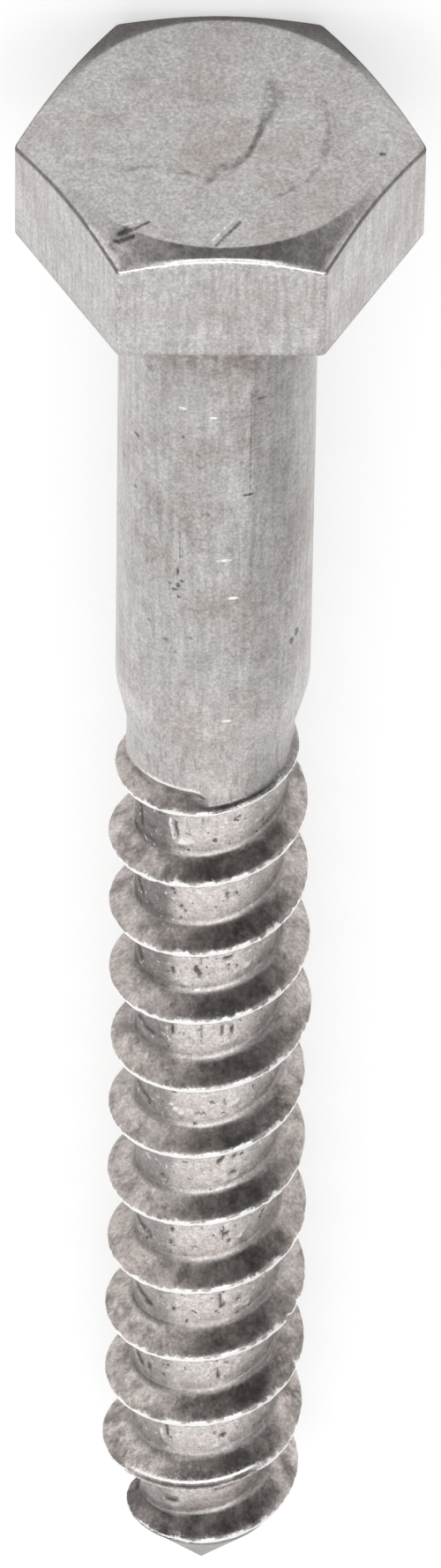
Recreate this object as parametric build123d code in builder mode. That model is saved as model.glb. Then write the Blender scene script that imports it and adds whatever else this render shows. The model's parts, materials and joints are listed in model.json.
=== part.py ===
"""Lag screw: hexagon head, plain shank, step down to a rolled wood thread, cone point.

One solid, in millimetres. It is drawn along its own axis, and then laid down on the edge of
its head and on its thread, the way a dropped screw comes to rest.
"""

import os
from math import atan2, cos, radians, sin, tan

from build123d import *

# Head
ACROSS_FLATS = 17.0
HEAD_HEIGHT = 6.5
TOP_CIRCLE_DIAMETER = 15.85  # the flat top, inside the chamfer
HEAD_CHAMFER_ANGLE = 30.0
UNDERHEAD_FILLET = 0.25

# Lengths along the axis
LENGTH = 95.4  # from the bearing face under the head to the tip
SHANK_LENGTH = 29.4
STEP_LENGTH = 3.0
NECK_LENGTH = 1.0
POINT_LENGTH = 5.0

# Diameters of the body
SHANK_DIAMETER = 9.6
NECK_DIAMETER = 8.35
CORE_DIAMETER = 7.45
TIP_DIAMETER = 0.4

# Thread, right handed
CREST_DIAMETER = 10.0
PITCH = 4.96
THREAD_ANGLE = 60.0
CREST_FLAT = 0.25
CREST_PHASE = 1.3  # from the end of the neck to the first crest that faces up
GROOVE_RUN_IN = 2.5  # the groove deepens from the neck to the core
CREST_RUN_IN = 1.7  # the crest climbs out of the neck to its full height
CREST_RUN_OUT = 2.3  # the crest sinks into the core, where the point begins
FLANK_OVERLAP = 1.0  # the ridge's flanks run on this far inside the core

shank_radius = SHANK_DIAMETER / 2
neck_radius = NECK_DIAMETER / 2
core_radius = CORE_DIAMETER / 2
crest_radius = CREST_DIAMETER / 2

step_end = SHANK_LENGTH + STEP_LENGTH
thread_start = step_end + NECK_LENGTH
point_start = LENGTH - POINT_LENGTH

# The screw is drawn with Z along its axis, from the bearing face at 0 towards the tip, and
# with X pointing out of the flat that will face up. The helix begins in XZ, so the bodies of
# revolution have their seam in YZ, clear of it.
helix_plane = Plane.XZ
seam_plane = Plane.YZ

with BuildPart() as head:
    with BuildSketch(Plane.XY.offset(-HEAD_HEIGHT)):
        RegularPolygon(ACROSS_FLATS / 2, side_count=6, major_radius=False, rotation=30)
    extrude(amount=HEAD_HEIGHT)
    # The chamfer is a cone about the axis, which scallops the top of each flat
    top_radius = TOP_CIRCLE_DIAMETER / 2
    cone_radius = top_radius + HEAD_HEIGHT / tan(radians(HEAD_CHAMFER_ANGLE))
    with BuildSketch(seam_plane):
        with BuildLine():
            Polyline(
                (0, 0),
                (0, -HEAD_HEIGHT),
                (top_radius, -HEAD_HEIGHT),
                (cone_radius, 0),
                close=True,
            )
        make_face()
    revolve(axis=Axis.Z, mode=Mode.INTERSECT)

# The ridge is a trapezoid swept along the helix of its crest
crest_half_width = CREST_FLAT / 2
foot_radius = core_radius - FLANK_OVERLAP
foot_half_width = crest_half_width + (crest_radius - foot_radius) * tan(radians(THREAD_ANGLE / 2))
first_crest_up = thread_start + CREST_PHASE
helix_start = first_crest_up - PITCH

with BuildPart() as ridge:
    with BuildLine(Plane.XY.offset(helix_start)) as crest_line:
        Helix(pitch=PITCH, height=LENGTH - helix_start, radius=crest_radius)
    with BuildSketch(helix_plane):
        with BuildLine():
            Polyline(
                (foot_radius, helix_start - foot_half_width),
                (crest_radius, helix_start - crest_half_width),
                (crest_radius, helix_start + crest_half_width),
                (foot_radius, helix_start + foot_half_width),
                close=True,
            )
        make_face()
    sweep(path=crest_line.line, is_frenet=True)

# The ridge is trimmed by two cones: one lets the crest climb out of the neck, the other sinks
# it into the core. Both run on past the crest, so the full thread between them is untouched.
climb = (crest_radius - neck_radius) / CREST_RUN_IN
sink = (crest_radius - core_radius) / CREST_RUN_OUT
reach = PITCH / 4

with BuildPart() as thread:
    add(ridge.part)
    with BuildSketch(seam_plane):
        with BuildLine():
            Polyline(
                (0, thread_start - reach),
                (neck_radius - climb * reach, thread_start - reach),
                (crest_radius + climb * reach, thread_start + CREST_RUN_IN + reach),
                (crest_radius + sink * reach, point_start - CREST_RUN_OUT - reach),
                (core_radius, point_start),
                (0, point_start),
                close=True,
            )
        make_face()
    revolve(axis=Axis.Z, mode=Mode.INTERSECT)

with BuildPart() as screw:
    with BuildSketch(seam_plane):
        with BuildLine():
            Polyline(
                (0, -HEAD_HEIGHT / 2),
                (shank_radius, -HEAD_HEIGHT / 2),
                (shank_radius, SHANK_LENGTH),
                (neck_radius, step_end),
                (neck_radius, thread_start),
                (core_radius, thread_start + GROOVE_RUN_IN),
                (core_radius, point_start),
                (TIP_DIAMETER / 2, LENGTH),
                (0, LENGTH),
                close=True,
            )
        make_face()
    revolve(axis=Axis.Z)
    add(head.part)
    shank_root = screw.edges().filter_by(GeomType.CIRCLE)
    shank_root = shank_root.filter_by_position(Axis.Z, -UNDERHEAD_FILLET, UNDERHEAD_FILLET)
    fillet(shank_root, radius=UNDERHEAD_FILLET)
    add(thread.part)

# At rest the screw touches the ground with the edge of its lower flat and with the last crest
# of full height that faces down, so its axis dips towards the tip.
first_crest_down = first_crest_up + PITCH / 2
turns_between = (point_start - CREST_RUN_OUT - first_crest_down) // PITCH
resting_crest = first_crest_down + turns_between * PITCH + crest_half_width
dip = atan2(ACROSS_FLATS / 2 - crest_radius, resting_crest)
rest_plane = Plane(
    origin=(0, 0, 0),
    x_dir=(-sin(dip), 0, cos(dip)),
    z_dir=(-cos(dip), 0, -sin(dip)),
)

with BuildPart(rest_plane) as lag_screw:
    add(screw.part)

os.makedirs("parts", exist_ok=True)
lag_screw.part.label = "lag_screw"
export_step(lag_screw.part, "parts/lag_screw.step")
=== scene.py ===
"""Lag screw of satin stainless steel, lying at rest on a pale studio floor.

The piece is one closed mesh of rings around the screw's axis. Above the thread the rings are
level. Along the thread they climb with it, so that each crest lies on a ring of its own.
Lengths along and out from the axis are in millimetres until place() turns them into metres.
"""

import json

import bpy
import numpy as np
from mathutils import Matrix, Vector


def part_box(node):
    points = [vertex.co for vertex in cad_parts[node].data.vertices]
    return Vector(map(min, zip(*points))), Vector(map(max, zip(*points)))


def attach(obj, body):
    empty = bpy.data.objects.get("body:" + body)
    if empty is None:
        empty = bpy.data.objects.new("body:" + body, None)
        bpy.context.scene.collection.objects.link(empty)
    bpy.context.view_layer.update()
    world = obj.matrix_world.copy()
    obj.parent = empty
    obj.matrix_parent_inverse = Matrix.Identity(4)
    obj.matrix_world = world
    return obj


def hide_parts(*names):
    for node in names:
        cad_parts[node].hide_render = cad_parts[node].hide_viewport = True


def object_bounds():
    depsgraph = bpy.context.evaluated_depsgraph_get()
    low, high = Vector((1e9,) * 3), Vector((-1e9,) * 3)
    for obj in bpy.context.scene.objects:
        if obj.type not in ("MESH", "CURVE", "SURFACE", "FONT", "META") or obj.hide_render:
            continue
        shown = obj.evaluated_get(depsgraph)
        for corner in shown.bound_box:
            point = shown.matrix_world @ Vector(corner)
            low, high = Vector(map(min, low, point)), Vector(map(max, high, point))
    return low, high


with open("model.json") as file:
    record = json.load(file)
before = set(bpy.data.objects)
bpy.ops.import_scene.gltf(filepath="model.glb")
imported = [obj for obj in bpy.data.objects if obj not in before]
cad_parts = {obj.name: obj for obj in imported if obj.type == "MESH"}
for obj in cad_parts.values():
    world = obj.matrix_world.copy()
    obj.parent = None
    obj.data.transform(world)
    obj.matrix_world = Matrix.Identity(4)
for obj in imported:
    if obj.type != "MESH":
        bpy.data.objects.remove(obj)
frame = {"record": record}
cad_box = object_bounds()

MM = 0.001
NODE = "lag_screw"

# The screw's own axes, from the shank's mount: along the shank to the tip, out of the head's
# upper flat, and across the head's corners
shank_mount = next(m for m in frame["record"]["mounts"] if m["name"] == "shank")
to_tip = np.array(Vector(shank_mount["axis"]).normalized())
across = np.array([0.0, 1.0, 0.0])
up_flat = np.cross(across, to_tip)
floor_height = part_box(NODE)[0][2]

# Head
ACROSS_FLATS = 17.0
HEAD_HEIGHT = 6.5
TOP_RADIUS = 7.925
CHAMFER_ANGLES = (30.0, 22.0)  # at the upper flat, and at the one underneath
CORNER_ROUNDING = 0.35  # radius of the upright edges between the flats
EDGE_ROUNDING = 0.13
FLAT_HALF_ANGLE = np.radians(30.0)  # from the middle of a flat to a corner

# Body
SHANK_RADIUS = shank_mount["dims"]["r_mm"]
NECK_RADIUS = 4.15
CORE_RADIUS = 3.725
CORE_TAPER = [(85.0, 0.0), (88.4, 0.5)]  # how far the core has thinned before the point
ROOT_FILLET = 0.25
SHANK_LENGTH = shank_mount["dims"]["length_mm"]
STEP_END = 32.4
LENGTH = 95.36
TIP_RADIUS = 0.08
POINT_SLOPE = np.tan(np.radians(36.5))
BODY = [
    (0.0, SHANK_RADIUS),
    (SHANK_LENGTH, SHANK_RADIUS),
    (STEP_END, NECK_RADIUS),
    (LENGTH, NECK_RADIUS),
]

# Thread
PITCH = 4.96
FIRST_CREST_UP = 34.7
FLANK_SLOPE = 1 / np.tan(np.radians(30.0))
CREST_ROUNDING = 0.21
FOOT_FILLET = 0.15
TURNS = 12  # between the level rings at either end of the thread

# The crest's radius by turns from the first crest that faces up: it climbs out of the neck,
# swells a little where the dies closed, and sinks into the point
CREST_RADII = [
    (-0.5, 3.2),
    (-0.3, 4.0),
    (-0.17, 4.6),
    (0.0, 4.78),
    (0.25, 4.67),
    (0.75, 4.9),
    (1.25, 4.99),
    (2.25, 4.96),
    (2.75, 5.13),
    (3.25, 4.96),
    (3.75, 5.25),
    (4.25, 4.88),
    (5.25, 5.0),
    (6.25, 5.04),
    (6.75, 5.13),
    (7.25, 5.03),
    (7.75, 5.14),
    (9.25, 5.13),
    (9.75, 5.1),
    (10.25, 5.26),
    (10.4, 5.0),
    (10.6, 4.97),
    (10.75, 5.0),
    (10.83, 4.86),
    (10.94, 4.63),
    (11.05, 4.33),
    (11.11, 4.12),
    (11.25, 3.96),
    (11.4, 3.2),
    (11.5, 2.5),
]
# How far the crest strays along the axis, by turns
CREST_STRAY = [
    (-0.35, 0.8),
    (-0.2, 0.15),
    (0.08, 0.15),
    (0.17, 0),
    (2, 0),
    (3, -0.15),
    (6, -0.2),
    (8, 0.05),
    (11.5, 0),
]
# On the left, the end of the neck laps over a furrow before the first crest: the edge's place
# from that crest along the axis, by turns
LAP_EDGE = [(0.0, -0.9), (0.06, -1.08), (0.1, -1.25), (0.146, -1.45), (0.25, -1.0), (0.35, -0.5)]
LAP_DEPTH = 0.3
# The last crest of full height was left flat along its middle, by turns
FLAT_CREST = (9.88, 10.16)
FLAT_CREST_DEPTH = 0.2
# The thread's axis strays a little to either side of the shank's, by distance from the head
SWAY = [
    (SHANK_LENGTH, 0.0),
    (33.5, 0.1),
    (41.0, 0.1),
    (62.0, -0.02),
    (80.0, -0.07),
    (LENGTH, -0.06),
]

# Nicks and burrs on the crests: (turns, half length in turns, height)
CREST_NICKS = [
    (1.90, 0.003, 0.07),
    (1.913, 0.003, 0.06),
    (1.95, 0.002, -0.06),
    (2.965, 0.004, 0.09),
    (3.08, 0.004, 0.05),
    (4.045, 0.006, 0.07),
    (5.868, 0.003, 0.08),
    (5.882, 0.002, -0.12),
    (5.893, 0.003, 0.09),
    (5.903, 0.002, -0.08),
    (6.068, 0.003, 0.07),
    (7.842, 0.004, -0.16),
    (7.853, 0.003, 0.08),
    (9.03, 0.004, -0.06),
]

# Marks run from one place to another, each (distance from the bearing face, degrees round from
# the upper flat), with a half width and a strength: above 0 a dent with dirt in it, below 0 a
# bright burr. The rolling dies left most of them, so they come back from turn to turn.
CORE_MARKS = [
    ((37.7, 67), (38.6, 65), 0.22, 1.0),
    ((38.1, 57), (38.3, 49), 0.2, 0.5),
    ((36.8, 28), (37.9, 25), 0.11, 1.0),
    ((36.8, 31), (38.0, 28), 0.12, -0.8),
    ((38.1, 23), (37.8, 13), 0.12, -0.9),
    ((36.1, 5), (36.5, 5), 0.08, 0.6),
    ((36.3, -19), (36.3, -24), 0.1, 0.7),
    ((43.0, 71), (43.5, 64), 0.22, 1.0),
    ((41.7, 30), (42.1, 26), 0.1, 0.9),
    ((42.5, 26), (42.9, 19), 0.12, 1.0),
    ((42.1, 29), (42.5, 26), 0.1, -0.7),
    ((41.4, 6), (41.5, 6), 0.1, 0.6),
    ((41.5, -14), (41.9, -15), 0.14, 0.7),
    ((47.9, 71), (48.5, 63), 0.22, 1.0),
    ((46.2, 6), (46.6, 6), 0.09, 0.6),
    ((47.1, 10), (47.6, 6), 0.14, 1.1),
    ((47.6, 6), (47.5, -1), 0.1, 1.0),
    ((46.4, -12), (46.3, -18), 0.12, 0.9),
    ((47.5, 29), (47.8, 28), 0.12, 0.9),
    ((47.8, 28), (47.8, 11), 0.08, 0.5),
    ((48.1, 25), (48.3, 16), 0.14, -0.6),
    ((46.9, -16), (47.3, -16), 0.09, 0.6),
    ((47.5, -21), (47.5, -22), 0.13, -1.0),
    ((47.3, -30), (47.2, -32), 0.13, -0.9),
    ((53.0, 68), (53.1, 48), 0.2, 0.9),
    ((51.7, 29), (52.3, 29), 0.13, 1.0),
    ((51.8, 34), (52.7, 31), 0.12, -0.7),
    ((52.0, 20), (52.6, 9), 0.07, 0.6),
    ((51.2, 5), (52.6, 5), 0.07, 0.7),
    ((51.3, -11), (51.9, -11), 0.1, 0.8),
    ((51.4, -19), (52.0, -19), 0.11, 0.9),
    ((52.6, -10), (52.4, -21), 0.12, -0.7),
    ((57.5, 29), (58.0, 19), 0.13, -0.7),
    ((57.8, 10), (57.6, 6), 0.09, 0.7),
    ((56.9, -13), (57.2, -15), 0.11, 0.8),
    ((57.2, -18), (57.0, -24), 0.12, -0.8),
    ((58.0, 70), (58.2, 52), 0.2, 0.9),
    ((61.4, -8), (61.0, -13), 0.12, 1.1),
    ((61.0, -13), (61.1, -23), 0.1, 0.9),
    ((61.6, 5), (62.1, 4), 0.07, 0.6),
    ((63.0, 39), (63.3, 34), 0.14, 0.6),
    ((62.4, -17), (62.2, -23), 0.1, 0.8),
    ((62.5, -14), (62.6, -15), 0.14, -1.0),
    ((68.0, 71), (68.1, 51), 0.2, 1.0),
    ((66.7, 29), (66.7, 28), 0.14, 1.0),
    ((67.7, 29), (67.7, 28), 0.14, 1.0),
    ((66.4, -12), (66.8, -14), 0.11, 1.0),
    ((66.8, -14), (66.7, -17), 0.12, 1.0),
    ((66.2, -13), (66.3, -24), 0.07, 0.7),
    ((67.3, -18), (67.3, -19), 0.11, 0.9),
    ((67.1, -27), (66.9, -30), 0.12, -0.8),
    ((73.0, 72), (73.2, 50), 0.2, 1.0),
    ((71.1, -11), (72.1, -12), 0.09, 0.9),
    ((72.0, -13), (72.1, -18), 0.1, 1.0),
    ((72.6, 27), (72.6, 26), 0.13, 1.1),
    ((72.5, 31), (72.5, 32), 0.15, -0.9),
    ((71.8, -25), (71.9, -33), 0.09, 0.8),
    ((72.2, -25), (72.3, -36), 0.11, -0.8),
    ((78.0, 73), (78.3, 62), 0.22, 1.0),
    ((77.8, 51), (78.2, 50), 0.14, 0.8),
    ((76.9, 32), (76.9, 31), 0.13, 0.9),
    ((76.8, -10), (77.5, -11), 0.1, 0.9),
    ((76.6, -23), (76.7, -23), 0.1, 0.7),
    ((82.1, 37), (82.8, 33), 0.13, -0.7),
    ((81.7, 32), (82.3, 31), 0.11, 0.9),
    ((81.8, -8), (81.9, -17), 0.11, 1.1),
    ((82.5, -1), (82.6, -12), 0.12, -0.6),
    ((87.8, 36), (87.7, 24), 0.1, 0.9),
    ((86.4, -10), (86.2, -30), 0.12, 0.8),
]
CORE_MARK_DEPTH = 0.09
CORE_MARK_BOLDNESS = 1.05  # how much wider and stronger than listed the marks are made

# The ridge begins as a broad swelling of the neck
SWELLING_ALONG = 34.3
SWELLING_ANGLE = np.radians(-88)
SWELLING_HEIGHT = 0.24

# Marks on the head's top, from one place to another: (out towards the upper flat, across). The
# mesh has their relief and the material their colour.
HEAD_MARKS = [
    ((-3.4, -2.45), (-2.4, -2.6), 0.6, 0.43),
    ((-2.4, -2.6), (-1.0, -2.1), 0.4, 0.46),
    ((-1.0, -2.1), (1.2, -1.4), 0.22, 0.62),
    ((1.2, -1.4), (2.1, -0.7), 0.28, 0.52),
    ((2.1, -0.7), (2.3, -0.1), 0.33, 0.46),
    ((2.5, 0.25), (3.15, 0.5), 0.33, 0.48),
    ((3.1, 0.6), (2.5, 2.4), 0.25, 0.4),
    ((2.3, 3.4), (2.6, 4.7), 0.2, 0.4),
    ((-2.2, -4.95), (-0.1, -5.1), 0.2, 0.33),
    ((-0.1, -5.1), (1.9, -4.9), 0.25, 0.38),
    ((1.9, -4.9), (3.3, -4.1), 0.2, 0.3),
    ((3.3, -4.1), (4.5, -2.4), 0.18, 0.4),
    ((6.15, -0.85), (7.75, 0.28), 0.11, 0.68),
    ((5.95, -0.6), (7.4, 0.45), 0.09, -0.42),
    ((7.75, 0.28), (8.2, 0.75), 0.14, 0.33),
    ((6.15, 3.45), (6.6, 4.1), 0.1, 0.75),
    ((6.6, 4.1), (6.75, 4.8), 0.17, 0.68),
    ((7.0, 4.2), (7.1, 5.2), 0.15, 0.75),
    ((6.8, 4.5), (7.3, 5.0), 0.22, 0.5),
    ((6.1, 3.9), (6.45, 4.9), 0.12, -0.42),
    ((7.0, 5.35), (7.65, 4.35), 0.1, -0.9),
    ((1.4, -7.7), (1.4, -7.6), 0.13, 0.8),
]
HEAD_MARK_DEPTH = 0.05
HEAD_MARKS_END = -5.5  # how far down the head they reach
RECESS_RADIUS = 3.5
RECESS_DEPTH = 0.03

# Small marks on the shank, drawn by the material: (distance from the bearing face, place
# across, half length along, half length across, strength as above)
SHANK_MARKS = [
    (7.3, 1.72, 0.08, 0.22, -1.0),
    (7.65, 0.22, 0.08, 0.2, -0.8),
    (17.25, -0.4, 0.09, 0.4, -1.0),
    (19.85, -0.87, 0.1, 0.28, -1.0),
    (28.3, -0.58, 0.09, 0.26, -1.0),
    (6.75, -2.08, 0.09, 0.34, 0.6),
    (13.0, -1.5, 0.09, 0.3, 0.9),
    (10.65, 3.87, 0.13, 0.13, 0.7),
    (9.2, 1.66, 0.12, 0.1, 0.5),
    (13.0, 4.5, 0.15, 0.1, 0.6),
    (14.2, 3.95, 0.16, 0.1, 0.6),
    (16.7, 1.77, 1.6, 0.05, 0.5),
    (18.3, 1.85, 0.5, 0.07, 0.65),
    (18.9, 1.65, 0.12, 0.15, 0.65),
    (19.25, 1.85, 0.2, 0.12, 0.65),
    (19.3, 2.2, 0.12, 0.12, 0.6),
    (19.6, 2.0, 0.12, 0.16, 0.65),
    (20.05, 1.78, 0.12, 0.15, 0.6),
    (24.2, -4.0, 0.3, 0.12, 0.65),
    (24.5, -3.75, 0.3, 0.12, 0.65),
    (23.3, 2.35, 0.2, 0.16, 0.5),
    (22.7, 1.3, 0.12, 0.3, 0.45),
    (22.5, 3.2, 0.12, 0.15, 0.5),
    (14.2, 0.6, 0.15, 0.35, 0.35),
    (23.9, 1.95, 0.15, 0.09, 0.5),
    (5.5, 3.3, 0.35, 0.3, 0.35),
    (4.8, -1.4, 0.5, 0.2, 0.3),
    (10.0, -1.58, 6.0, 0.05, 0.5),
    (18.0, -1.66, 4.0, 0.04, 0.3),
]

# The mesh: its columns are crowded at the head's six corners and thinned out underneath, and
# its rings are crowded at the crests. TOP_RINGS carry the marks on the head.
TOP_RINGS = 34
CORNER_COLUMNS = [0.0, 0.5, 1.03, 1.5]
COLUMNS_BETWEEN_CORNERS = {30: 12, 90: 24, 150: 36, 210: 36, 270: 36, 330: 24}
RING_GAPS = [0.0, 0.07, 0.14, 0.2, 0.27, 0.38, 0.55, 0.7, 0.85, 1.05, 1.3, 1.6, 1.9, 2.2]


def along_list(where, pairs, blur):
    """The value at where, from a list of (place, value) pairs, its corners rounded by blur."""
    places, values = np.array(pairs).T
    shifts = np.linspace(-blur, blur, 7)
    return sum(np.interp(where + shift, places, values) for shift in shifts) / len(shifts)


def smooth_max(a, b, blend):
    """The larger of two heights, with a fillet about as large as blend where they cross."""
    near = np.clip(blend - np.abs(a - b), 0, None) / blend
    return np.maximum(a, b) + near * near * blend / 4


def ease(value, low, high):
    """0 below low, 1 above high, and a smooth rise between."""
    share = np.clip((value - low) / (high - low), 0, 1)
    return share * share * (3 - 2 * share)


def ease_degrees(angle, low, high):
    """The same for an angle, between limits in degrees."""
    return ease(angle, np.radians(low), np.radians(high))


def bell(distance, half_width):
    """1 where distance is 0, and falling away smoothly to either side."""
    return np.exp(-((distance / half_width) ** 2))


def ripple(where, waves, shortest, longest, seed):
    """A smooth irregular wave of about unit size, as a sum of sines."""
    draw = np.random.default_rng(seed)
    total = np.zeros_like(where)
    for _ in range(waves):
        length = draw.uniform(shortest, longest)
        total += np.sin(2 * np.pi * (where / length + draw.random()))
    return total / np.sqrt(waves / 2)


def mark_field(x, y, marks, y_scale=1.0, boldness=1.0):
    """The marks' strength at these points, each mark a soft line between its two ends."""
    dents = burrs = np.zeros_like(x)
    for (x0, y0), (x1, y1), half_width, strength in marks:
        y0, y1 = y0 * y_scale, y1 * y_scale
        run_x, run_y = x1 - x0, y1 - y0
        run = ((x - x0) * run_x + (y - y0) * run_y) / (run_x**2 + run_y**2)
        run = np.clip(run, 0, 1)
        apart = np.hypot(x - x0 - run * run_x, y - y0 - run * run_y)
        line = strength * boldness * bell(apart, half_width * boldness)
        dents = np.maximum(dents, line)
        burrs = np.minimum(burrs, line)
    return dents + burrs


def place(along, angle, radius):
    """Points in metres, from millimetres along the axis and out from it. Angle 0 is up."""
    side = radius * np.sin(angle) + along_list(along, SWAY, blur=2.0)
    parts = [
        np.multiply.outer(along, to_tip),
        np.multiply.outer(radius * np.cos(angle), up_flat),
        np.multiply.outer(side, across),
    ]
    return sum(parts) * MM


def column_angles():
    """The columns' angles, from straight down round to it again, with a head corner at +-30."""
    start = CORNER_COLUMNS[-1]
    full_turn = []
    for corner, between in COLUMNS_BETWEEN_CORNERS.items():
        offsets = CORNER_COLUMNS[:-1] + list(np.linspace(start, 60 - start, between + 2))
        offsets += [60 - c for c in CORNER_COLUMNS[-2:0:-1]]
        full_turn += [(corner + offset - 60) % 360 for offset in offsets]
    return np.radians(np.sort(full_turn)) - np.pi


angles = column_angles()
columns = len(angles)


def angle_from_flat():
    """Each column's angle from the middle of its flat."""
    return np.abs((angles + FLAT_HALF_ANGLE) % (2 * FLAT_HALF_ANGLE) - FLAT_HALF_ANGLE)


def hexagon_radius(flat_distance):
    """The outline of a hexagon with rounded corners, at each column."""
    from_flat = angle_from_flat()
    from_corner = FLAT_HALF_ANGLE - from_flat
    centre = (flat_distance - CORNER_ROUNDING) / np.cos(FLAT_HALF_ANGLE)
    centre_aside = centre * np.sin(FLAT_HALF_ANGLE)
    rounded_from = FLAT_HALF_ANGLE - np.arctan(centre_aside / flat_distance)
    reach = np.clip(CORNER_ROUNDING**2 - (centre * np.sin(from_corner)) ** 2, 0, None)
    rounded = centre * np.cos(from_corner) + np.sqrt(reach)
    return np.where(from_corner < rounded_from, rounded, flat_distance / np.cos(from_flat))


class Skin:
    """Rings of points, joined one to the next into a closed mesh.

    Each point carries four layers for the material. "polish" is 1 where an edge is rubbed
    bright, and where a highlight is painted on it. "mark" is above 0 in dirty dents and in the
    painted shade of the thread's split and slit, and below 0 on bright burrs. "shade" is 1 where
    shade is painted into the steel's colour. "zone" is 1 where the dies burnished it, as on the
    thread's core, and -1 on the thread's flanks; on the chamfer's front it is painted light.
    """

    LAYERS = ("polish", "mark", "shade", "zone")

    def __init__(self):
        self.points = []
        self.faces = []
        self.layers = {name: [] for name in self.LAYERS}

    def ring(self, along, radius, **layers):
        """Adds a ring and gives its point numbers, the first one again at the end."""
        along = np.broadcast_to(np.asarray(along, float), angles.shape)
        radius = np.broadcast_to(np.asarray(radius, float), angles.shape)
        first = len(self.points)
        self.points.extend(place(along, angles, radius))
        for name, values in self.layers.items():
            values.extend(np.broadcast_to(layers.get(name, 0.0), angles.shape))
        numbers = list(range(first, first + columns))
        return numbers + numbers[:1]

    def centre(self, along):
        """Adds one point on the axis, and gives it as a ring."""
        self.points.extend(place(np.array([along]), np.zeros(1), np.zeros(1)))
        for values in self.layers.values():
            values.append(0.0)
        return [len(self.points) - 1] * (columns + 1)

    def join(self, ring, next_ring):
        """Fills the strip between two rings. Points that they share give triangles."""
        for a, b, c, d in zip(ring, ring[1:], next_ring[1:], next_ring):
            corners = list(dict.fromkeys((a, b, c, d)))
            if len(corners) > 2:
                self.faces.append(corners)

    def join_all(self, rings):
        for ring, next_ring in zip(rings, rings[1:]):
            self.join(ring, next_ring)


def chamfer_drop(reach):
    """How far the chamfer has dropped below the top, this far outside the top's circle."""
    front, back = np.tan(np.radians(CHAMFER_ANGLES))
    return reach * (front + (back - front) * ease_degrees(np.abs(angles), 60, 120))


def head_surface(skin, along, radius):
    """A ring on the head's top or chamfer, with the shallow recess and the marks pressed in."""
    radius = np.broadcast_to(radius, angles.shape)
    marks = mark_field(radius * np.cos(angles), radius * np.sin(angles), HEAD_MARKS)
    recess = 1 - ease(radius, RECESS_RADIUS - 1.0, RECESS_RADIUS + 0.2)
    pressed = HEAD_MARK_DEPTH * marks + RECESS_DEPTH * recess
    # The top carries a little painted shade, and the chamfer more of it at the back; at the front
    # the chamfer is painted lighter, in the burnished colour
    back = ease_degrees(np.abs(angles), 100, 140)
    front = 1 - ease_degrees(np.abs(angles), 25, 60)
    chamfer = ease(radius, TOP_RADIUS - 0.15, TOP_RADIUS + 0.15)
    shade = 0.1 + chamfer * (0.65 * back - 0.1 * front)
    zone = 0.9 * chamfer * front
    return skin.ring(along + pressed, radius, shade=shade, zone=zone)


def head_rings(skin):
    """From the middle of the head's top, over the chamfer and down the flats to the shank."""
    top = -HEAD_HEIGHT
    rings = [skin.centre(top + RECESS_DEPTH)]
    for radius in np.linspace(0.3, TOP_RADIUS - 0.2, TOP_RINGS):
        rings.append(head_surface(skin, top, radius))
    # The top turns over smoothly into the chamfer: (distance outside its circle, drop)
    for step, drop in ((-0.07, 0.004), (0.0, 0.02), (0.09, 0.058)):
        rings.append(head_surface(skin, top + drop, TOP_RADIUS + step))

    outline = hexagon_radius(ACROSS_FLATS / 2)
    rim = top + chamfer_drop(outline - TOP_RADIUS)
    for share in (0.35, 0.7, 0.93):
        radius = TOP_RADIUS + share * (outline - TOP_RADIUS)
        rings.append(head_surface(skin, top + chamfer_drop(radius - TOP_RADIUS), radius))
    return rings + rim_rings(skin, outline, rim) + flat_rings(skin, outline, rim)


def rim_rings(skin, outline, rim):
    """The rim's rounding, from the chamfer's slope to the flats.

    It is rubbed bright along the upper flat, where a highlight is painted on it too, and has
    painted shade along the other flats.
    """
    upper = 1 - ease_degrees(np.abs(angles), 29.5, 30.5)
    rings = []
    for turned in np.radians([0.0, 15.0, 30.0, 45.0, 60.0]):
        slope = FLAT_HALF_ANGLE + turned
        inward = EDGE_ROUNDING * (1 - np.sin(slope))
        drop = EDGE_ROUNDING * (np.tan(FLAT_HALF_ANGLE) * 0.5 + 0.5 - np.cos(slope))
        rub = 0.82 - 0.45 * abs(turned / np.radians(30.0) - 1)
        layers = {"polish": rub * upper, "shade": 0.7 * (1 - upper)}
        rings.append(skin.ring(rim + drop, outline - inward, **layers))
    return rings


def flat_rings(skin, outline, rim):
    """Down the flats, round their lower edge, and in along the bearing face to the shank."""
    rings = []
    flat_top = rim + EDGE_ROUNDING * 0.9
    # The upright corners are rubbed a little bright, with a faint painted highlight
    corner = bell(angle_from_flat() - FLAT_HALF_ANGLE, 0.02)
    for share in (0.03, 0.2, 0.4, 0.6, 0.8, 0.97):
        along = flat_top * (1 - share) - EDGE_ROUNDING * share
        rings.append(skin.ring(along, outline, polish=0.2 * corner))
    # The lower edge's rounding has a little painted shade, dimming its highlight
    for turned in np.radians([20.0, 55.0, 90.0]):
        inward = EDGE_ROUNDING * (1 - np.cos(turned))
        along = -EDGE_ROUNDING * (1 - np.sin(turned))
        rings.append(skin.ring(along, outline - inward, shade=0.1))

    inner = SHANK_RADIUS + ROOT_FILLET
    for share in (0.05, 0.5, 0.95):
        rings.append(skin.ring(0.0, outline * (1 - share) + inner * share))
    return rings


def body_radius(along, grooved=0.0):
    """The round body's radius: shank, step, neck and point, or the core where grooved is 1."""
    groove = NECK_RADIUS - CORE_RADIUS + along_list(along, CORE_TAPER, blur=0.6)
    body = along_list(along, BODY, blur=0.4) - groove * grooved
    cone = TIP_RADIUS + (LENGTH - along) * POINT_SLOPE
    return -smooth_max(-body, -cone, 0.2)


def neck_burnish(along):
    """How far the neck is burnished, by the dies that rolled the thread."""
    return 0.3 * ease(along, 0.75 * SHANK_LENGTH, STEP_END)


def thread_top():
    """Where the thread's rings leave the last level ring, under the first crest down."""
    return FIRST_CREST_UP - PITCH / 2


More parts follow.
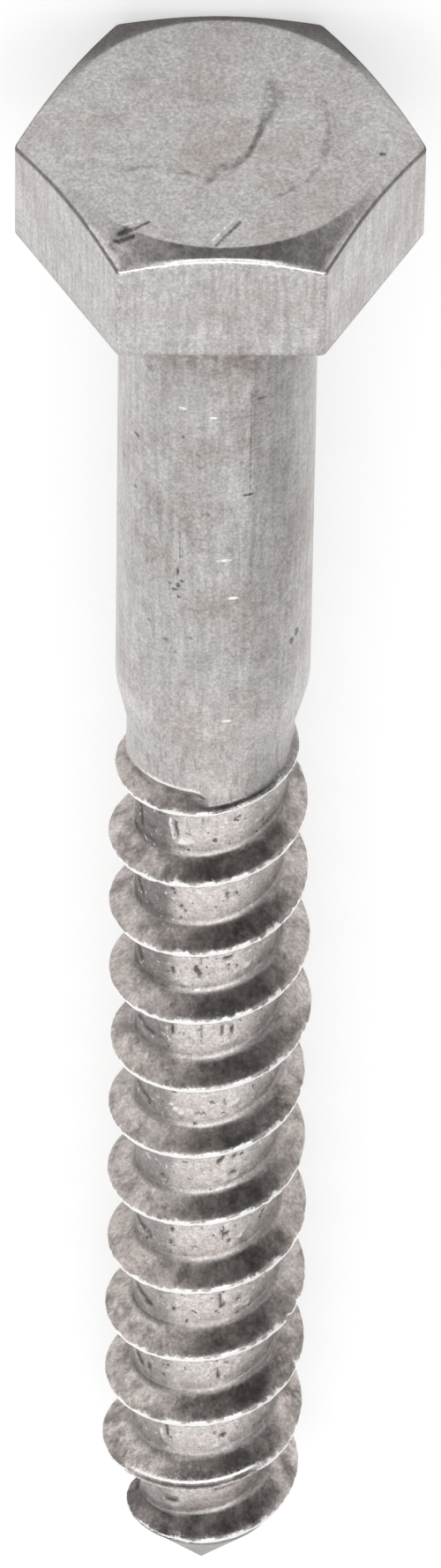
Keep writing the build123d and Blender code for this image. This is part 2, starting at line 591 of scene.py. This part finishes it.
def shank_rings(skin):
    """The fillet under the head, and the shank down to where the thread's rings begin."""
    rings = []
    for turned in np.radians([0.0, 30.0, 60.0, 90.0]):
        radius = SHANK_RADIUS + ROOT_FILLET * (1 - np.sin(turned))
        rings.append(skin.ring(ROOT_FILLET * (1 - np.cos(turned)), radius))
    for along in np.linspace(1.2, SHANK_LENGTH - 0.6, 14):
        rings.append(skin.ring(along, body_radius(along), zone=neck_burnish(along)))
    for along in np.linspace(SHANK_LENGTH - 0.3, thread_top() - 0.2, 12):
        rings.append(skin.ring(along, body_radius(along), zone=neck_burnish(along)))
    return rings


def groove_share(level, angle):
    """How far the groove has deepened, from 0 at the neck to 1 at the core.

    It deepens past the first crest, and ends again past the last one.
    """
    deepening = ease_degrees(angle, -150, -50)
    ending = 1 - ease_degrees(angle, -150, -40)
    share = np.where(level > TURNS - 1, ending, np.where(level > 1, 1.0, deepening))
    return share * ease(level, -0.02, 0.02)


def crest_roughness(crest_turn):
    """How far the crest stands out or falls short, all along it and at its nicks."""
    rough = 0.009 * ripple(crest_turn, 9, 0.014, 0.06, seed=3)
    for nick_turn, half_length, height in CREST_NICKS:
        rough = rough + height * bell(crest_turn - nick_turn, half_length)
    return rough


def crest_polish(crest_turn, from_crest, angle, flat):
    """How bright the crest is rubbed, with a painted highlight: widest where it faces up, uneven on
    the right.
    """
    uneven = 0.28 + 0.4 * ease_degrees(-angle, 10, 40)
    width = 0.17 - 0.08 * ease_degrees(np.abs(angle), 20, 80)
    width = width * (1 + uneven * ripple(crest_turn, 7, 0.015, 0.1, seed=5))
    pointed = bell(from_crest - 0.03, np.clip(width, 0.05, None))
    two_edged = bell(np.abs(from_crest) - 0.3, 0.08)
    return pointed * (1 - flat) + two_edged * flat


class ThreadPoints:
    """Points of the threaded body: their place on the thread, and its shape there.

    The level counts the turns down the thread from the first crest that faces up, so it is a
    whole number on each crest. The ridge is the nearest crest.
    """

    def __init__(self, along, angle):
        self.along = along
        self.angle = angle
        self.turn = angle / (2 * np.pi)
        self.level = (along - FIRST_CREST_UP) / PITCH - self.turn
        ridge = np.round(self.level)
        self.from_crest = (self.level - ridge) * PITCH
        self.crest_turn = ridge + self.turn
        crest = along_list(self.crest_turn, CREST_RADII, blur=0.03)
        self.grooved = groove_share(self.level, angle)
        body = body_radius(along, self.grooved)

        # On the right the neck flares up into the first crest
        on_neck = self.level < 0
        self.flare = ease(self.from_crest, -2.5, -0.1) * on_neck
        self.flare = self.flare * (1 - ease_degrees(angle, 0, 13))
        body = body + np.clip(crest - 0.25 - body, 0, None) * self.flare
        # On the left it laps over a furrow
        self.past_lap = self.from_crest - along_list(self.turn, LAP_EDGE, blur=0.02)
        self.lapped = on_neck * (ridge == 0) * ease_degrees(angle, 0, 14)
        self.lapped = self.lapped * (1 - ease_degrees(angle, 90, 125))
        self.furrow = self.lapped * ease(self.past_lap, -0.05, 0.15)
        body = body - LAP_DEPTH * self.furrow

        self.standing = ease(crest - body, 0.02, 0.4)
        rounded = (self.from_crest**4 + CREST_ROUNDING**4) ** 0.25
        profile = crest - FLANK_SLOPE * (rounded - CREST_ROUNDING)
        rough = crest_roughness(self.crest_turn) * self.standing
        profile = profile + rough * bell(self.from_crest, 0.17)

        self.on_flank = ease(profile - body, -0.1, 0.15)
        marks = mark_field(
            along, angle * CORE_RADIUS, CORE_MARKS, np.radians(CORE_RADIUS), CORE_MARK_BOLDNESS
        )
        self.marks = marks * (1 - self.on_flank)
        body = body - CORE_MARK_DEPTH * self.marks
        self.over_body = profile - body
        radius = smooth_max(body, profile, FOOT_FILLET)

        self.flat = ease(self.crest_turn, FLAT_CREST[0], FLAT_CREST[0] + 0.05)
        self.flat = self.flat * (1 - ease(self.crest_turn, FLAT_CREST[1] - 0.05, FLAT_CREST[1]))
        radius = radius - np.clip(radius - crest + FLAT_CREST_DEPTH, 0, None) * self.flat

        swelling = bell(along - SWELLING_ALONG, 0.85) * bell(angle - SWELLING_ANGLE, 0.42)
        self.radius = radius + SWELLING_HEIGHT * swelling * (self.level < 1)

    def strayed(self):
        """The points' places along the axis, with the thread's strays and its wandering crest."""
        above = np.floor(self.level)
        share = self.level - above
        stray = along_list(above + self.turn, CREST_STRAY, blur=0.1) * (1 - share)
        stray = stray + along_list(above + 1 + self.turn, CREST_STRAY, blur=0.1) * share
        wander = 0.013 * ripple(self.crest_turn, 9, 0.01, 0.04, seed=4)
        wander = wander * bell(self.from_crest, 0.3)
        fade = ease(self.along, thread_top(), thread_top() + 0.6)
        return self.along + (stray + wander) * fade

    # The crests, rubbed bright and with a painted highlight, and a painted highlight along the
    # lap's lip
    def polish(self):
        polish = crest_polish(self.crest_turn, self.from_crest, self.angle, self.flat)
        lip = self.lapped * bell(self.past_lap + 0.14, 0.2)
        lip = lip * bell(self.angle - np.radians(25), 0.55)
        return np.clip(polish * self.standing + 1.5 * lip, 0, 1)

    def mark(self):
        """The core's marks, and painted shade along the split of the flat crest and in the slit
        under the lap.
        """
        split = self.flat * bell(self.from_crest, 0.1)
        slit = self.lapped * bell(self.past_lap - 0.12, 0.12)
        slit = slit * bell(self.angle - np.radians(12), 0.4)
        return self.marks + 0.8 * split + 0.8 * slit

    def shade(self):
        """Painted shade on the core's sides, the flanks' feet, the flank facing up, the neck's
        flare and the point, and a darker last flank.
        """
        angle, on_flank = self.angle, self.on_flank
        point = ease(self.level, TURNS - 1, TURNS - 0.9)
        left = ease_degrees(angle, 20, 38) * ease_degrees(angle, 95, 75)
        right = ease_degrees(-angle, 22, 48) * ease_degrees(-angle, 100, 80)
        weaker = 1 - 0.4 * ease(self.along, 38.0, 80.0)  # the further down, the less of it
        sides = (0.7 * left + 0.33 * right) * weaker * self.grooved * (1 - on_flank)
        foot = bell(self.over_body + 0.02, 0.17) * self.standing
        facing_up = bell(angle + np.radians(12), 0.5) * on_flank
        last = 0.65 * ease(self.crest_turn, 10.85, 11.08) * on_flank + 0.4 * point * (1 - on_flank)
        shade = sides + 0.5 * foot + 0.38 * facing_up * weaker**2 + last + 0.2 * self.flare
        return np.clip(shade, 0, 0.9)

    def zone(self):
        point = ease(self.level, TURNS - 1, TURNS - 0.9)
        burnish = np.maximum(self.grooved, neck_burnish(self.along)) * (1 - self.on_flank)
        burnish = burnish * (1 - 0.7 * point)
        rough_rolled = np.maximum(self.on_flank * self.standing, self.furrow)
        return burnish * (1 - self.furrow) - rough_rolled

    def layers(self):
        return {
            "polish": self.polish(),
            "mark": self.mark(),
            "shade": self.shade(),
            "zone": self.zone(),
        }


def thread_rings(skin, first_level, last_level):
    """Rings that climb one pitch in each turn, between a level ring at either end.

    Each climbing ring ends where the one a pitch further on begins. At the ends of the thread
    a fan of rings fills the wedge up to the level ring, from one point on it.
    """
    gaps = RING_GAPS + [PITCH / 2] + [PITCH - gap for gap in RING_GAPS[:0:-1]]
    shares = np.array(gaps) / PITCH
    per_turn = len(shares)
    climb = (angles + np.pi) / (2 * np.pi)
    start = thread_top()
    end = start + TURNS * PITCH

    opening = [threaded_ring(skin, start + share * PITCH * climb) for share in shares[1:]]
    climbing = []
    for number in range((TURNS - 1) * per_turn + 1):
        turn, step = divmod(number, per_turn)
        climbing.append(threaded_ring(skin, start + (turn + shares[step] + climb) * PITCH))
    last = start + (TURNS - 1 + climb) * PITCH
    closing = [threaded_ring(skin, last + share * (end - last)) for share in shares[1:]]

    # The fan's rings share their first point with the level ring, and each ring's last point
    # is the first one of the ring a pitch further on
    first_level[0] = first_level[-1] = climbing[0][0]
    for step, ring in enumerate(opening, start=1):
        ring[0] = climbing[0][0]
        ring[-1] = climbing[step][0]
    following = climbing[per_turn:] + closing + [last_level]
    for ring, next_turn in zip(climbing, following):
        ring[-1] = next_turn[0]
    for ring in closing:
        ring[-1] = last_level[0]
    return [first_level] + opening + climbing + closing + [last_level]


def threaded_ring(skin, along):
    points = ThreadPoints(along, angles)
    return skin.ring(points.strayed(), points.radius, **points.layers())


def point_rings(skin):
    """The last of the cone, down to the tip."""
    end = thread_top() + TURNS * PITCH
    steps = np.linspace(end + 0.3, LENGTH, 12)
    # The point carries painted shade
    rings = [skin.ring(along, body_radius(along), shade=0.45) for along in steps]
    return rings + [skin.centre(LENGTH + TIP_RADIUS / 2)]


def build_screw():
    """The whole screw as one closed mesh."""
    skin = Skin()
    first_level = threaded_ring(skin, np.full(columns, thread_top()))
    last_along = thread_top() + TURNS * PITCH
    # The point carries painted shade
    last_level = skin.ring(last_along, body_radius(last_along), shade=0.45)
    rings = head_rings(skin) + shank_rings(skin)
    rings += thread_rings(skin, first_level, last_level)
    rings += point_rings(skin)
    skin.join_all(rings)

    # Points that no face uses, where rings share their first point, are left out
    used = sorted({number for face in skin.faces for number in face})
    renumbered = {number: place_in_list for place_in_list, number in enumerate(used)}
    mesh = bpy.data.meshes.new("lag_screw_skin")
    mesh.from_pydata(
        [tuple(skin.points[number]) for number in used],
        [],
        [[renumbered[number] for number in face] for face in skin.faces],
    )
    for name, values in skin.layers.items():
        layer = mesh.attributes.new(name, "FLOAT", "POINT")
        layer.data.foreach_set("value", [float(values[number]) for number in used])
    mesh.shade_smooth()
    piece = bpy.data.objects.new("lag_screw_steel", mesh)
    bpy.context.scene.collection.objects.link(piece)
    return piece


class Nodes:
    """A node tree, with short calls for the nodes that the materials use."""

    def __init__(self, tree):
        self.tree = tree
        tree.nodes.clear()

    def add(self, kind, **settings):
        node = self.tree.nodes.new(kind)
        for name, value in settings.items():
            setattr(node, name, value)
        return node

    def put(self, value, socket):
        """Links a socket or sets a plain value."""
        if isinstance(value, bpy.types.NodeSocket):
            self.tree.links.new(value, socket)
        else:
            socket.default_value = value

    def noise(self, coords, scale, detail=2.0, roughness=0.5):
        node = self.add("ShaderNodeTexNoise")
        self.put(coords, node.inputs["Vector"])
        node.inputs["Scale"].default_value = scale
        node.inputs["Detail"].default_value = detail
        node.inputs["Roughness"].default_value = roughness
        return node.outputs["Fac"]

    def math(self, operation, a, b=0.0, clamp=False):
        node = self.add("ShaderNodeMath", operation=operation, use_clamp=clamp)
        self.put(a, node.inputs[0])
        self.put(b, node.inputs[1])
        return node.outputs[0]

    def product(self, *factors):
        total = factors[0]
        for factor in factors[1:]:
            total = self.math("MULTIPLY", total, factor)
        return total

    def vector(self, operation, a, b=(0.0, 0.0, 0.0), output="Vector"):
        node = self.add("ShaderNodeVectorMath", operation=operation)
        self.put(a, node.inputs[0])
        self.put(b, node.inputs[1])
        return node.outputs[output]

    def lessened(self, share, amount):
        """1, less this amount where share is 1."""
        return self.math("SUBTRACT", 1.0, self.product(share, amount))

    def spread(self, value, low, high, to_low=0.0, to_high=1.0):
        """Rises smoothly from to_low, where value is low, to to_high, where it is high."""
        node = self.add("ShaderNodeMapRange", interpolation_type="SMOOTHSTEP")
        self.put(value, node.inputs["Value"])
        node.inputs["From Min"].default_value = low
        node.inputs["From Max"].default_value = high
        node.inputs["To Min"].default_value = to_low
        node.inputs["To Max"].default_value = to_high
        return node.outputs["Result"]

    def window(self, value, rise, fall):
        """1 between the rise and the fall, each a pair of limits, and 0 outside them."""
        return self.product(self.spread(value, *rise), self.spread(value, *fall, 1.0, 0.0))

    def mix(self, share, a, b, blend="MIX"):
        node = self.add("ShaderNodeMix", data_type="RGBA", blend_type=blend)
        self.put(share, node.inputs["Factor"])
        self.put(a, node.inputs[6])
        self.put(b, node.inputs[7])
        return node.outputs[2]

    def layer(self, name):
        return self.add("ShaderNodeAttribute", attribute_name=name).outputs["Fac"]


def colour(red, green, blue):
    return (red, green, blue, 1.0)


WHITE = colour(1.0, 1.0, 1.0)
FLOOR_GREY = colour(0.56, 0.56, 0.56)
CLEAN_STEEL = colour(0.53, 0.51, 0.5)
CLOUDED_STEEL = colour(0.455, 0.415, 0.4)
FLANK_STEEL = colour(0.5, 0.44, 0.415)  # rough rolled
CORE_STEEL = colour(0.77, 0.715, 0.69)  # burnished by the dies; on the chamfer's front it is painted light
BARE_STEEL = colour(0.95, 0.945, 0.94)  # rubbed bright, and used for painted highlights
# Darker and browner, just under the head
STAIN = colour(0.24, 0.195, 0.175)
# Dirt in dents, and painted shade in the thread's split and slit
DIRT = colour(0.09, 0.075, 0.07)
# The grazing reflection's tint where shade is painted
SCALE_SHEEN = colour(0.5, 0.48, 0.47)


def head_marks(nodes, along, aside, up):
    """The head marks' strength at the point being shaded, each mark a line between its ends."""
    spot = nodes.add("ShaderNodeCombineXYZ")
    nodes.put(up, spot.inputs["X"])
    nodes.put(aside, spot.inputs["Y"])
    dents = burrs = 0.0
    for start, end, half_width, strength in HEAD_MARKS:
        run = Vector((end[0] - start[0], end[1] - start[1], 0.0))
        apart = nodes.vector("SUBTRACT", spot.outputs["Vector"], (*start, 0.0))
        share = nodes.vector("DOT_PRODUCT", apart, run / run.length_squared, output="Value")
        share = nodes.math("MULTIPLY", share, 1.0, clamp=True)
        back = nodes.add("ShaderNodeVectorMath", operation="SCALE")
        back.inputs[0].default_value = run
        nodes.put(share, back.inputs["Scale"])
        apart = nodes.vector("DISTANCE", apart, back.outputs["Vector"], output="Value")
        line = nodes.spread(apart, 0.2 * half_width, 1.6 * half_width, strength, 0.0)
        if strength > 0:
            dents = nodes.math("MAXIMUM", line, dents)
        else:
            burrs = nodes.math("MINIMUM", line, burrs)
    on_top = nodes.math("LESS_THAN", along, HEAD_MARKS_END)
    return nodes.product(nodes.math("ADD", dents, burrs), on_top)


def shank_marks(nodes, along, aside, up):
    """The sum of the shank's marks at the point being shaded."""
    spot = nodes.add("ShaderNodeCombineXYZ")
    nodes.put(along, spot.inputs["X"])
    nodes.put(aside, spot.inputs["Y"])
    total = 0.0
    for mark_along, mark_aside, half_along, half_aside, strength in SHANK_MARKS:
        apart = nodes.vector("SUBTRACT", spot.outputs["Vector"], (mark_along, mark_aside, 0.0))
        apart = nodes.vector("MULTIPLY", apart, (1 / half_along, 1 / half_aside, 0.0))
        apart = nodes.vector("LENGTH", apart, output="Value")
        total = nodes.math("ADD", nodes.spread(apart, 0.4, 1.4, strength, 0.0), total)
    return nodes.product(total, nodes.math("GREATER_THAN", up, 0.0))


class Steel(Nodes):
    """The steel's node tree, with the noises, layers and lengths that its parts share."""

    def __init__(self, tree):
        super().__init__(tree)
        coords = self.add("ShaderNodeTexCoord").outputs["Object"]
        drawn = self.vector("MULTIPLY", coords, (0.07, 1.0, 1.0))
        self.grain = self.noise(coords, 6500, 3, 0.65)
        self.streaks = self.noise(drawn, 3800, 3, 0.65)
        self.crumbs = self.noise(coords, 3200, 3, 0.65)
        self.pebbles = self.noise(coords, 2600, 2, 0.6)
        self.mottle = self.noise(coords, 1400, 5, 0.65)
        self.blotches = self.noise(coords, 900, 5, 0.7)
        self.spots = self.noise(coords, 620, 3, 0.7)
        self.clouds = self.noise(coords, 260, 4, 0.6)

        self.polish = self.layer("polish")
        # Painted shade, from the mesh's shade layer
        self.scale = self.layer("shade")
        self.zone = self.layer("zone")
        self.core = self.math("MAXIMUM", self.zone, 0.0)
        self.flank = self.math("MAXIMUM", self.product(self.zone, -1.0), 0.0)
        # Burnished steel, and on the chamfer's front painted light
        self.burnished = self.spread(self.zone, 0.85, 0.95)
        self.along = self.length(coords, to_tip)
        self.aside = self.length(coords, across)
        self.up = self.length(coords, up_flat)

    def length(self, coords, axis):
        """How far along this axis, in millimetres."""
        return self.vector("DOT_PRODUCT", coords, tuple(axis / MM), output="Value")

    def metal(self):
        """The colour of the metal in each zone, with its brownish clouds, and browner under the
        head.
        """
        base = self.mix(self.spread(self.clouds, 0.42, 0.72), CLEAN_STEEL, CLOUDED_STEEL)
        base = self.mix(self.flank, base, self.mix(0.75, base, FLANK_STEEL))
        base = self.mix(self.core, base, self.mix(0.85, base, CORE_STEEL))
        # Just under the head the shank is darker and browner, in patches
        under_head = self.window(self.along, (0.1, 0.3), (3.9, 5.8))
        under_head = self.product(under_head, self.spread(self.mottle, 0.35, 0.55))
        return self.mix(self.product(under_head, 0.75), base, STAIN)

    def shading(self):
        """How light or dark the metal is, by its grain and marks, and by painted shade and painted
        highlights.
        """
        along, aside, zone = self.along, self.aside, self.zone
        # Drawing left streaks along the shank, and the dies a pebbled core
        unlike = self.math("SUBTRACT", self.crumbs, self.streaks)
        worked = self.math("ADD", self.streaks, self.product(self.core, unlike))
        blotched = self.spread(self.blotches, 0.35, 0.65, -0.19, 0.16)
        blotched = self.product(blotched, self.spread(along, 68.0, 86.0, 1.0, 1.9), self.flank)
        spots = self.spread(self.spots, 0.46, 0.66)
        spots = self.product(spots, self.spread(zone, -0.3, 0.0, 0.45, 0.1))
        # Fine dark speckles lie in patches on the shank
        speckles = self.product(
            self.spread(self.crumbs, 0.5, 0.64),
            self.spread(self.clouds, 0.4, 0.6, 0.35, 1.0),
            self.window(along, (0.0, 0.5), (30.5, 32.0)),
        )
        # The neck has dark streaks, and painted shade leaves it lighter along its middle and darker
        # at its sides
        neck = self.window(zone, (0.0, 0.2), (0.4, 0.5))
        neck = self.product(self.spread(along, 29.4, 30.4), neck)
        neck_streaks = self.product(self.spread(self.streaks, 0.5, 0.64), neck)
        neck_sides = self.spread(self.math("ABSOLUTE", aside), 1.0, 3.4, 0.07, -0.07)
        # A painted highlight runs round the edge of the step
        step_edge = self.window(along, (27.9, 28.9), (29.3, 30.0))
        # The shank is darker in a band from the seam out to its right side, fading further from the
        # head
        on_shank = self.product(
            self.spread(along, 0.5, 2.0),
            self.spread(along, 15.0, 24.0, 1.0, 0.3),
        )
        band = self.product(self.window(aside, (-5.3, -4.2), (-1.75, -1.55)), on_shank)
        return self.product(
            self.spread(self.mottle, 0.32, 0.68, 0.92, 1.06),
            self.math("ADD", 1.0, blotched),
            self.spread(self.grain, 0.28, 0.72, 0.78, 1.2),
            self.spread(worked, 0.3, 0.7, 0.87, 1.12),
            self.spread(along, -0.5, 0.3, 1.06, 1.0),
            self.lessened(spots, 1.0),
            self.lessened(speckles, 0.2),
            self.lessened(neck_streaks, 0.32),
            self.math("ADD", 1.0, self.product(neck, neck_sides)),
            self.math("ADD", 1.0, self.product(step_edge, 0.09)),
            # painted shade, from the mesh's shade layer
            self.lessened(self.scale, 0.9),
            self.lessened(band, 0.18),
        )

    def marked(self, base):
        """The colour, dark in dirty dents and with painted shade in the thread's split and slit,
        and bright as bare metal on burrs, rubbed edges and painted highlights.
        """
        painted = self.math(
            "ADD",
            head_marks(self, self.along, self.aside, self.up),
            shank_marks(self, self.along, self.aside, self.up),
        )
        pits = self.product(self.spread(self.pebbles, 0.6, 0.72), self.burnished)
        mark = self.math("ADD", self.layer("mark"), painted)
        mark = self.math("ADD", mark, self.product(pits, 0.7))
        # The dark marks, both dirt and painted shade, and the burrs have ragged edges, less so on
        # the head
        ragged = self.spread(self.crumbs, 0.3, 0.7, -0.17, 0.17)
        ragged = self.product(ragged, self.spread(self.along, -1.0, 1.0, 0.85, 1.0))

        dirt = self.spread(self.math("ADD", mark, ragged), 0.1, 0.9)
        dirt = self.product(dirt, self.spread(mark, 0.08, 0.2))
        base = self.mix(self.product(dirt, 0.9), base, DIRT)

        burrs = self.spread(self.math("SUBTRACT", ragged, mark), 0.2, 0.7)
        burrs = self.product(burrs, self.spread(mark, -0.2, -0.08, 1.0, 0.0))
        burrs = self.product(burrs, self.spread(self.crumbs, 0.38, 0.55, 0.45, 1.0))
        # Painted glints: sparse bright specks on the burnished steel
        glints = self.product(self.spread(self.pebbles, 0.3, 0.38, 1.0, 0.0), self.burnished)
        bare = self.math("MAXIMUM", burrs, self.product(glints, 0.6))
        # Edges rubbed bright, with painted highlights
        rubbed = self.math("ADD", self.polish, self.spread(self.grain, 0.3, 0.7, -0.2, 0.2))
        bright = self.math("MAXIMUM", self.spread(rubbed, 0.15, 0.75), bare)
        return self.mix(bright, base, BARE_STEEL)

    def bumps(self):
        """The normal, roughened by the grain and the drawing streaks."""
        bump = self.add("ShaderNodeBump")
        bump.inputs["Strength"].default_value = 0.4
        bump.inputs["Distance"].default_value = 0.00002
        height = self.math("ADD", self.grain, self.product(self.streaks, 0.6))
        self.put(height, bump.inputs["Height"])
        return bump.outputs["Normal"]


def satin_steel():
    """Pickled stainless steel: a fine grain, brownish clouds, and bright crests, rubbed and with a
    painted highlight.
    """
    material = bpy.data.materials.new("satin_steel_pickled")
    material.use_nodes = True
    steel = Steel(material.node_tree)
    shaded = steel.mix(1.0, steel.metal(), steel.shading(), blend="MULTIPLY")
    roughness = steel.spread(steel.mottle, 0.3, 0.7, 0.28, 0.38)
    roughness = steel.math("SUBTRACT", roughness, steel.product(steel.polish, 0.06))

    shader = steel.add("ShaderNodeBsdfPrincipled")
    shader.inputs["Metallic"].default_value = 1.0
    steel.put(steel.marked(shaded), shader.inputs["Base Color"])
    steel.put(roughness, shader.inputs["Roughness"])
    # Where shade is painted, the steel's reflection stays dark even where the light grazes it
    steel.put(steel.mix(steel.scale, WHITE, SCALE_SHEEN), shader.inputs["Specular Tint"])
    steel.put(steel.bumps(), shader.inputs["Normal"])
    output = steel.add("ShaderNodeOutputMaterial")
    steel.put(shader.outputs["BSDF"], output.inputs["Surface"])
    return material


# The camera, fitted to the photograph: it looks down on the head's end of the screw
PHOTO_HEIGHT_PX = 1778
FOCAL_PX = 16000
SENSOR_MM = 36.0
CAMERA_DISTANCE = 700.46
CAMERA_TILT = np.radians(45.515)  # from straight above the screw towards its head
CAMERA_ROLL = np.radians(0.882)
SCREW_TURN = np.radians(1.045)  # of the screw about its own axis, seen by the camera
AIM_ALONG = 37.53
AIM_ASIDE = 0.455


def add_camera():
    to_head = -to_tip
    front = up_flat * np.cos(SCREW_TURN) + across * np.sin(SCREW_TURN)
    right = up_flat * np.sin(SCREW_TURN) - across * np.cos(SCREW_TURN)
    aim = right * AIM_ASIDE - to_head * AIM_ALONG
    back = front * np.cos(CAMERA_TILT) + to_head * np.sin(CAMERA_TILT)
    level_up = to_head * np.cos(CAMERA_TILT) - front * np.sin(CAMERA_TILT)
    camera_up = level_up * np.cos(CAMERA_ROLL) - right * np.sin(CAMERA_ROLL)
    camera_right = right * np.cos(CAMERA_ROLL) + level_up * np.sin(CAMERA_ROLL)

    data = bpy.data.cameras.new("camera")
    data.sensor_width = SENSOR_MM
    data.lens = SENSOR_MM * FOCAL_PX / PHOTO_HEIGHT_PX
    camera = bpy.data.objects.new("camera", data)
    turned = Matrix([camera_right, camera_up, back]).transposed().to_4x4()
    camera.matrix_world = Matrix.Translation(Vector((aim + back * CAMERA_DISTANCE) * MM)) @ turned
    bpy.context.scene.collection.objects.link(camera)
    bpy.context.scene.camera = camera


FLOOR_HALF_SIZE = (0.1, 0.06)
FLOOR_SIDES = 96
FLOOR_GLOW = 0.5


def sees_backdrop(nodes):
    """1 for the rays that see the background: the camera's, and those metal or glass send on."""
    path = nodes.add("ShaderNodeLightPath")
    seen = nodes.math("MAXIMUM", path.outputs["Is Camera Ray"], path.outputs["Is Glossy Ray"])
    return nodes.math("MAXIMUM", seen, path.outputs["Is Transmission Ray"])


def add_floor():
    """A pale floor that shows white, and keeps the screw's shadow."""
    middle = (cad_box[0] + cad_box[1]) / 2
    reach_x, reach_y = FLOOR_HALF_SIZE
    points = []
    for turned in np.linspace(0, 2 * np.pi, FLOOR_SIDES, endpoint=False):
        points.append((middle.x + reach_x * np.cos(turned), reach_y * np.sin(turned), floor_height))
    mesh = bpy.data.meshes.new("floor")
    mesh.from_pydata(points, [], [list(range(FLOOR_SIDES))])
    floor = bpy.data.objects.new("floor", mesh)
    bpy.context.scene.collection.objects.link(floor)

    material = bpy.data.materials.new("pale_floor")
    material.use_nodes = True
    nodes = Nodes(material.node_tree)
    paper = nodes.add("ShaderNodeBsdfDiffuse")
    paper.inputs["Color"].default_value = FLOOR_GREY
    glow = nodes.add("ShaderNodeEmission")
    glow.inputs["Color"].default_value = WHITE
    nodes.put(nodes.product(sees_backdrop(nodes), FLOOR_GLOW), glow.inputs["Strength"])
    both = nodes.add("ShaderNodeAddShader")
    nodes.put(paper.outputs["BSDF"], both.inputs[0])
    nodes.put(glow.outputs["Emission"], both.inputs[1])
    output = nodes.add("ShaderNodeOutputMaterial")
    nodes.put(both.outputs["Shader"], output.inputs["Surface"])
    mesh.materials.append(material)


# The studio: a pale tent with a soft dark opening low beyond the head, and a little less light
# from the camera's right
OPENING_TOWARDS = Vector((0.95, -0.08, 0.16)).normalized()
OPENING_CORE = 0.45
OPENING_RIM = 0.85
TENT_LIGHT = 1.0
OPENING_LIGHT = 0.1
RIGHT_LIGHT = 0.82


def add_tent():
    world = bpy.data.worlds.new("tent")
    world.use_nodes = True
    bpy.context.scene.world = world
    nodes = Nodes(world.node_tree)
    towards = nodes.add("ShaderNodeTexCoord").outputs["Generated"]
    apart = nodes.vector("DISTANCE", towards, OPENING_TOWARDS, output="Value")
    light = nodes.spread(apart, OPENING_CORE, OPENING_RIM, OPENING_LIGHT, TENT_LIGHT)
    leftward = nodes.vector("DOT_PRODUCT", towards, (0.0, 1.0, 0.0), output="Value")
    light = nodes.product(light, nodes.spread(leftward, -0.8, -0.2, RIGHT_LIGHT, 1.0))
    seen = nodes.add("ShaderNodeLightPath").outputs["Is Camera Ray"]
    background = nodes.add("ShaderNodeBackground")
    background.inputs["Color"].default_value = WHITE
    nodes.put(nodes.math("MAXIMUM", light, seen), background.inputs["Strength"])
    output = nodes.add("ShaderNodeOutputWorld")
    nodes.put(background.outputs["Background"], output.inputs["Surface"])


LAMP_PLACE = (-0.02, 0.0, 0.6)
LAMP_AIM = (-0.02, 0.0, 0.0)
LAMP_SIZE = (0.3, 0.7)
LAMP_WATTS = 0.78


def add_lamp(name, location, aim, size, watts):
    data = bpy.data.lights.new(name, "AREA")
    data.shape = "RECTANGLE"
    data.size, data.size_y = size
    data.energy = watts
    lamp = bpy.data.objects.new(name, data)
    lamp.location = location
    lamp.rotation_euler = (Vector(aim) - Vector(location)).to_track_quat("-Z", "Y").to_euler()
    bpy.context.scene.collection.objects.link(lamp)


screw = build_screw()
screw.data.materials.append(satin_steel())
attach(screw, "root")
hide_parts(NODE)

add_floor()
add_tent()
add_lamp("overhead", LAMP_PLACE, LAMP_AIM, LAMP_SIZE, LAMP_WATTS)
add_camera()
bpy.context.scene.view_settings.view_transform = "Standard"
